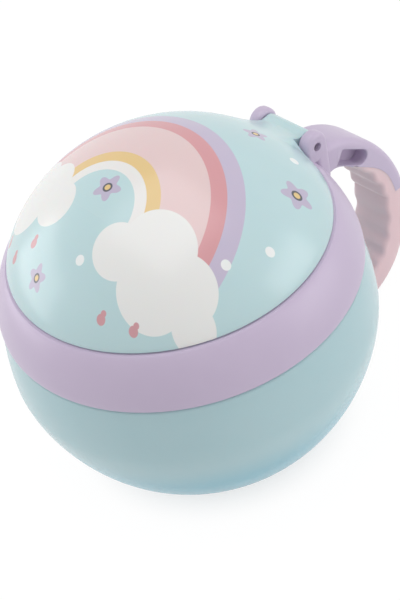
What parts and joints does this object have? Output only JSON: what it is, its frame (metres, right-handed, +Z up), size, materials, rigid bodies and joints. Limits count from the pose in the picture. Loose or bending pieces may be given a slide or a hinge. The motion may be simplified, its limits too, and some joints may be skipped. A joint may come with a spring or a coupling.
{
  "type": "toddler snack container",
  "caption": "Round translucent snack bowl with a screw collar, a domed flip lid on a pinned hinge, soft inner flaps and a curved side handle with a ribbed soft grip.",
  "frame": {"origin": "centre of the bowl's flat foot, on the surface it stands on", "axes": "+Z up through the lid, +Y from the bowl's centre towards the hinge and the handle, +X along the hinge pin"},
  "size_m": [0.1, 0.1268, 0.0928],
  "materials": {
    "clear_aqua_plastic": "translucent frosted polypropylene, glossy outside",
    "lilac_plastic": "satin moulded polypropylene",
    "aqua_lid_plastic": "smooth glossy moulded plastic with an in-mould printed pattern",
    "pink_soft_grip": "matte overmoulded thermoplastic elastomer",
    "flap_soft_plastic": "matte thermoplastic elastomer",
    "white_silicone": "matte silicone",
    "pin_steel": "plain drawn wire"
  },
  "bodies": {
    "bowl": {"bowl": "clear_aqua_plastic"},
    "seal": {"neck_seal": "white_silicone"},
    "collar": {"collar": "lilac_plastic", "handle": "lilac_plastic", "grip": "pink_soft_grip", "hinge_pin": "pin_steel", "flap_ring": "flap_soft_plastic"},
    "lid": {"lid_shell": "aqua_lid_plastic", "lid_plug": "aqua_lid_plastic", "lid_seal": "white_silicone"},
    "flap_body_1": {"flap_1": "flap_soft_plastic"},
    "flap_body_2": {"flap_2": "flap_soft_plastic"},
    "flap_body_3": {"flap_3": "flap_soft_plastic"},
    "flap_body_4": {"flap_4": "flap_soft_plastic"},
    "flap_body_5": {"flap_5": "flap_soft_plastic"},
    "flap_body_6": {"flap_6": "flap_soft_plastic"},
    "flap_body_7": {"flap_7": "flap_soft_plastic"},
    "flap_body_8": {"flap_8": "flap_soft_plastic"}
  },
  "joints": [
    {"name": "collar_lift", "type": "slide", "parent": "bowl", "child": "seal", "axis": [0, 0, 1], "range_m": [0, 0.006]},
    {"name": "collar_turn", "type": "hinge", "parent": "seal", "child": "collar", "pos_m": [0, 0, 0.0574], "axis": [0, 0, 1], "range_deg": [0, 90]},
    {"name": "lid_hinge", "type": "hinge", "parent": "collar", "child": "lid", "pos_m": [0, 0.0442, 0.0694], "axis": [-1, 0, 0], "range_deg": [0, 160]},
    {"name": "flap_1_bend", "type": "hinge", "parent": "collar", "child": "flap_body_1", "pos_m": [0.0305, 0, 0.0635], "axis": [0, -1, 0], "range_deg": [-50, 65], "stiffness_Nm_per_rad": 0.004},
    {"name": "flap_2_bend", "type": "hinge", "parent": "collar", "child": "flap_body_2", "pos_m": [0.02157, 0.02157, 0.0635], "axis": [0.7071, -0.7071, 0], "range_deg": [-50, 65], "stiffness_Nm_per_rad": 0.004},
    {"name": "flap_3_bend", "type": "hinge", "parent": "collar", "child": "flap_body_3", "pos_m": [0, 0.0305, 0.0635], "axis": [1, 0, 0], "range_deg": [-50, 65], "stiffness_Nm_per_rad": 0.004},
    {"name": "flap_4_bend", "type": "hinge", "parent": "collar", "child": "flap_body_4", "pos_m": [-0.02157, 0.02157, 0.0635], "axis": [0.7071, 0.7071, 0], "range_deg": [-50, 65], "stiffness_Nm_per_rad": 0.004},
    {"name": "flap_5_bend", "type": "hinge", "parent": "collar", "child": "flap_body_5", "pos_m": [-0.0305, 0, 0.0635], "axis": [0, 1, 0], "range_deg": [-50, 65], "stiffness_Nm_per_rad": 0.004},
    {"name": "flap_6_bend", "type": "hinge", "parent": "collar", "child": "flap_body_6", "pos_m": [-0.02157, -0.02157, 0.0635], "axis": [-0.7071, 0.7071, 0], "range_deg": [-50, 65], "stiffness_Nm_per_rad": 0.004},
    {"name": "flap_7_bend", "type": "hinge", "parent": "collar", "child": "flap_body_7", "pos_m": [0, -0.0305, 0.0635], "axis": [-1, 0, 0], "range_deg": [-50, 65], "stiffness_Nm_per_rad": 0.004},
    {"name": "flap_8_bend", "type": "hinge", "parent": "collar", "child": "flap_body_8", "pos_m": [0.02157, -0.02157, 0.0635], "axis": [-0.7071, -0.7071, 0], "range_deg": [-50, 65], "stiffness_Nm_per_rad": 0.004}
  ],
  "couplings": [
    {"joint": "collar_lift", "follows": "collar_turn", "m_per_rad": 0.0038197}
  ]
}
